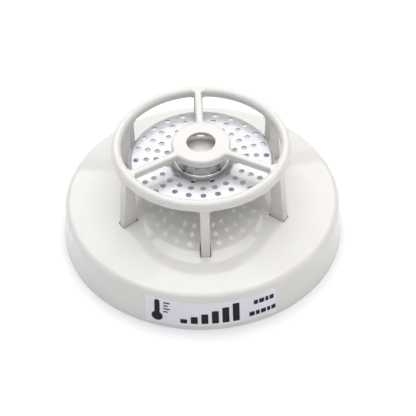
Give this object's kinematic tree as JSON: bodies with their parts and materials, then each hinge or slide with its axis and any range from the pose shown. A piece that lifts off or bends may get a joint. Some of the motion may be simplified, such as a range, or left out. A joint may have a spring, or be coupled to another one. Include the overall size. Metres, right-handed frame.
{
  "type": "heat detector head",
  "caption": "Round low-profile fixed-temperature heat detector head: white cover, caged perforated heat collector plate, snap-disc thermostat and twist-lock terminals.",
  "frame": {"origin": "centre of the back rim's plane, on the detector's axis", "axes": "+Z along the axis from the back towards the sensing side; -Y towards the rating label and one guard leg"},
  "size_m": [0.1, 0.1001, 0.0407],
  "materials": {
    "white_plastic": "glossy moulded off-white ABS",
    "chassis_plastic": "fine matt moulded off-white",
    "phenolic": "dark brown phenolic moulding",
    "ceramic": "unglazed pressed ceramic",
    "aluminium": "satin bright-rolled sheet, perforated",
    "nickel_plate": "bright nickel plate over drawn metal",
    "bimetal": "rolled bimetal strip",
    "brass": "plain turned and stamped brass",
    "silver": "silver contact alloy",
    "bronze": "phosphor-bronze spring strip",
    "zinc_steel": "bright zinc-plated steel",
    "label_film": null
  },
  "bodies": {
    "head": {"cover": "white_plastic", "cage_guard": "white_plastic", "rating_label": "label_film", "collector_plate": "aluminium", "clamp_collar": "nickel_plate", "sensor_cap": "nickel_plate", "bimetal_disc": "bimetal", "disc_seat": "ceramic", "thermostat_body": "phenolic", "switch_base": "phenolic", "arm_rivet": "brass", "arm_post": "brass", "fixed_post": "brass", "fixed_contact": "silver", "bus_bar_a": "brass", "bus_bar_b": "brass", "chassis": "chassis_plastic", "terminal_1": "nickel_plate", "terminal_2": "nickel_plate", "terminal_3": "nickel_plate", "terminal_4": "nickel_plate", "terminal_screw_1": "zinc_steel", "terminal_screw_2": "zinc_steel", "terminal_screw_3": "zinc_steel", "terminal_screw_4": "zinc_steel", "guard_screw_1": "zinc_steel", "guard_screw_2": "zinc_steel", "guard_screw_3": "zinc_steel", "cover_screw_1": "zinc_steel", "cover_screw_2": "zinc_steel", "cover_screw_3": "zinc_steel"},
    "pin": {"transfer_pin": "ceramic"},
    "arm": {"contact_arm": "bronze", "moving_contact": "silver"}
  },
  "joints": [
    {"name": "pin_slide", "type": "slide", "parent": "head", "child": "pin", "axis": [0, 0, -1], "range_m": [0, 0.0006], "stiffness_N_per_m": 300, "deforming": ["bimetal_disc"]},
    {"name": "arm_flex", "type": "hinge", "parent": "head", "child": "arm", "pos_m": [-0.0044, 0, 0.01908], "axis": [0, 1, 0], "range_deg": [0, 7.9]}
  ],
  "couplings": [
    {"joint": "arm_flex", "follows": "pin_slide", "rad_per_m": 227.27}
  ]
}
